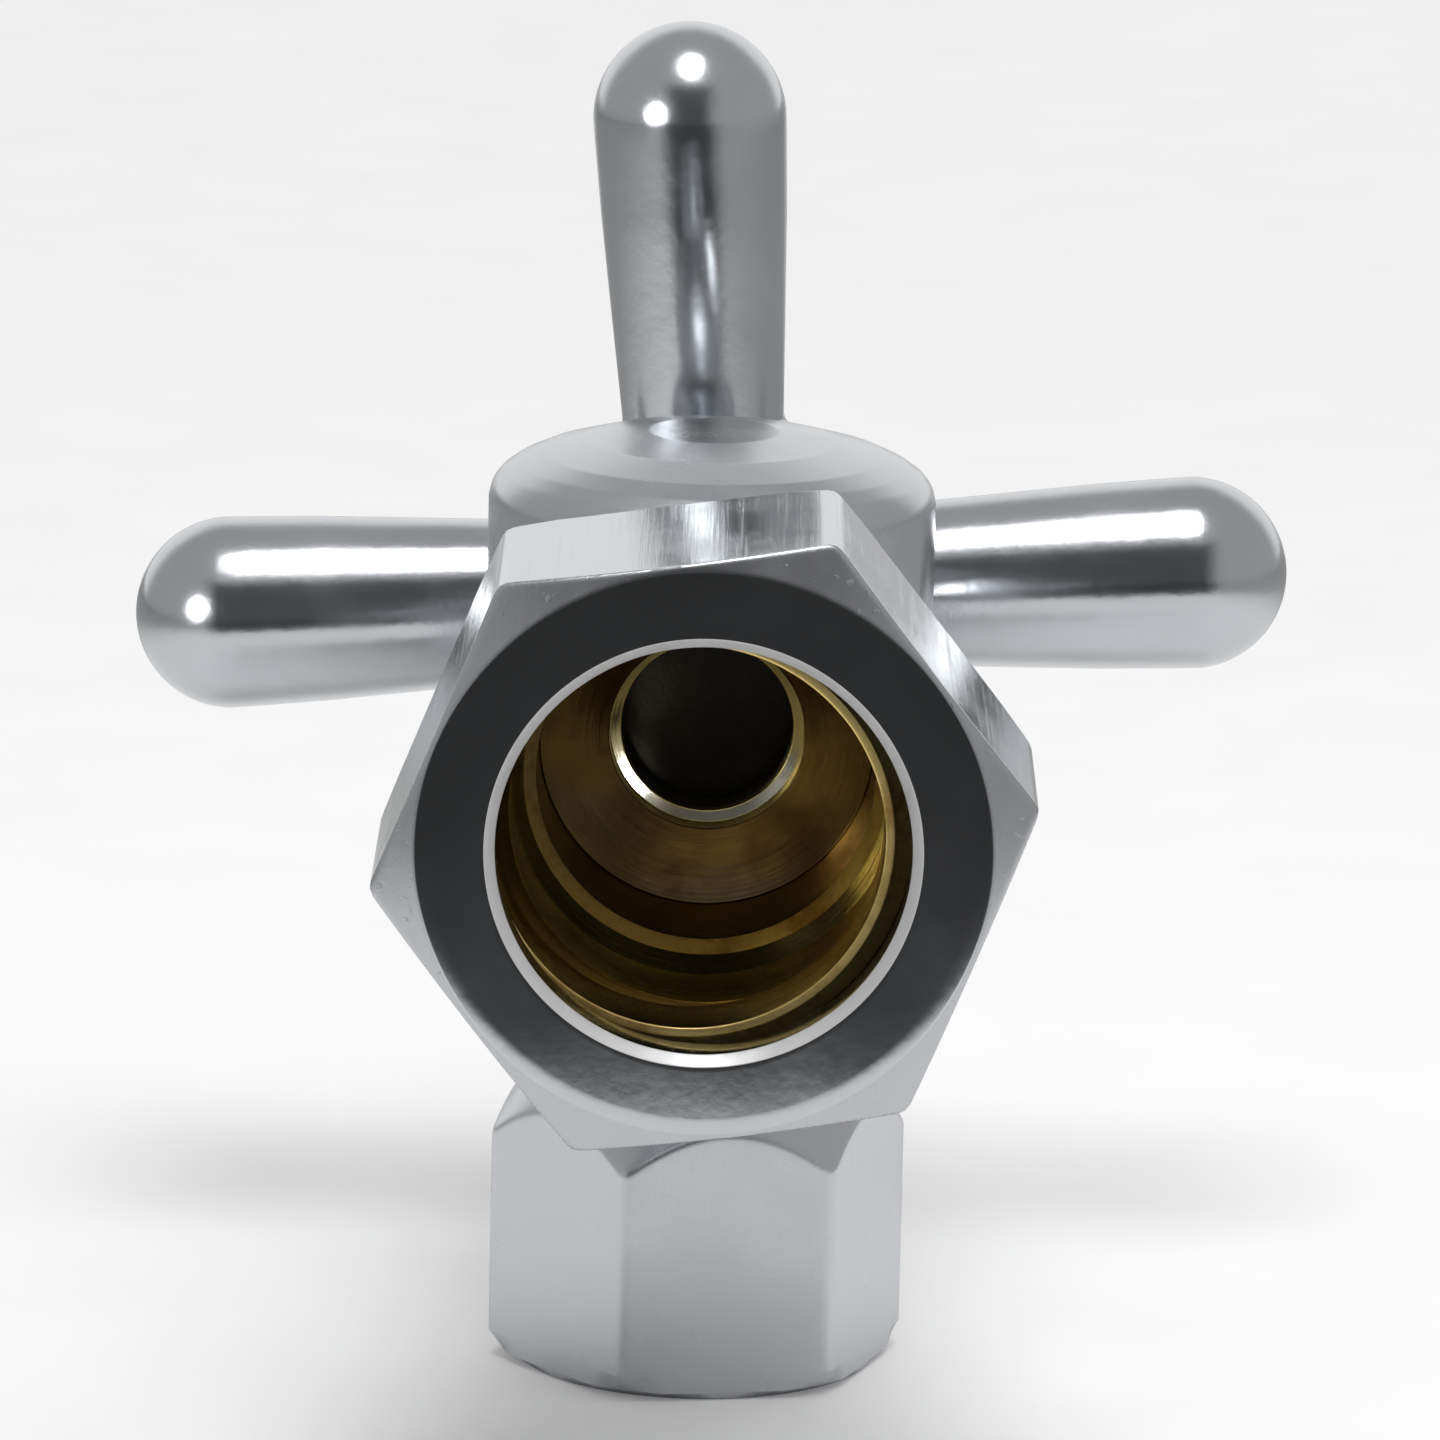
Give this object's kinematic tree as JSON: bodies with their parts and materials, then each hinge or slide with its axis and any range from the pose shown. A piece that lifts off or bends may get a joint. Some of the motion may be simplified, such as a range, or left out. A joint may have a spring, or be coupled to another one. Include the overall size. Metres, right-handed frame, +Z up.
{
  "type": "angle stop valve",
  "caption": "Chrome angle stop valve with a large hex compression inlet, a smaller hex compression outlet below and a cross handle on the stem behind.",
  "frame": {"origin": "centre of the bounding box in plan, at the outlet nut's bottom face that the valve stands on", "axes": "+Y from the inlet towards the handle, along the inlet and stem axis; +Z up, opposite to the outlet; X across"},
  "size_m": [0.0522, 0.0584, 0.0558],
  "materials": {
    "chrome_body": "polished, bare brass bores",
    "chrome_nut": "polished with fine brushed streaks",
    "satin_chrome_nut": "satin",
    "chrome_handle": "polished",
    "chrome_cap": "polished",
    "brass": "turned",
    "ferrule_brass": "turned",
    "steel": "satin",
    "rubber": "matt",
    "gasket": "pressed fibre",
    "packing": "PTFE, waxy"
  },
  "bodies": {
    "valve": {"valve_body": "chrome_body", "bonnet": "chrome_nut", "bonnet_gasket": "gasket", "packing_washer": "brass", "packing_ring_lower": "packing", "packing_ring_upper": "packing", "gland_ring": "brass", "packing_nut": "chrome_nut"},
    "seat_head": {"washer_holder": "brass", "holder_clip": "steel", "seat_washer": "rubber"},
    "spindle": {"stem": "brass", "cross_handle": "chrome_handle", "lock_washer": "steel", "handle_screw": "steel", "index_button": "chrome_cap", "button_ring": "rubber"},
    "inlet_ring": {"inlet_ferrule": "ferrule_brass"},
    "inlet_coupling": {"inlet_nut": "chrome_nut"},
    "outlet_ring": {"outlet_ferrule": "ferrule_brass"},
    "outlet_coupling": {"outlet_nut": "satin_chrome_nut"}
  },
  "joints": [
    {"name": "seat_lift", "type": "slide", "parent": "valve", "child": "seat_head", "axis": [0, 1, 0], "range_m": [0, 0.0024]},
    {"name": "handle_turn", "type": "hinge", "parent": "seat_head", "child": "spindle", "pos_m": [0, 0.00175, 0.0297], "axis": [0, 1, 0], "range_deg": [0, 576.2]},
    {"name": "inlet_ring_travel", "type": "slide", "parent": "valve", "child": "inlet_ring", "axis": [0, -1, 0], "range_m": [0, 0.00564]},
    {"name": "inlet_nut_turn", "type": "hinge", "parent": "inlet_ring", "child": "inlet_coupling", "pos_m": [0, 0.00175, 0.0297], "axis": [0, -1, 0], "range_deg": [0, 1440.5]},
    {"name": "outlet_ring_travel", "type": "slide", "parent": "valve", "child": "outlet_ring", "axis": [0, 0, -1], "range_m": [0, 0.00423]},
    {"name": "outlet_nut_turn", "type": "hinge", "parent": "outlet_ring", "child": "outlet_coupling", "pos_m": [0, 0.00175, 0.0297], "axis": [0, 0, -1], "range_deg": [0, 1440.5]}
  ],
  "couplings": [
    {"joint": "handle_turn", "follows": "seat_lift", "rad_per_m": 4188.8},
    {"joint": "inlet_nut_turn", "follows": "inlet_ring_travel", "rad_per_m": 4452.7},
    {"joint": "outlet_nut_turn", "follows": "outlet_ring_travel", "rad_per_m": 5936.9}
  ]
}
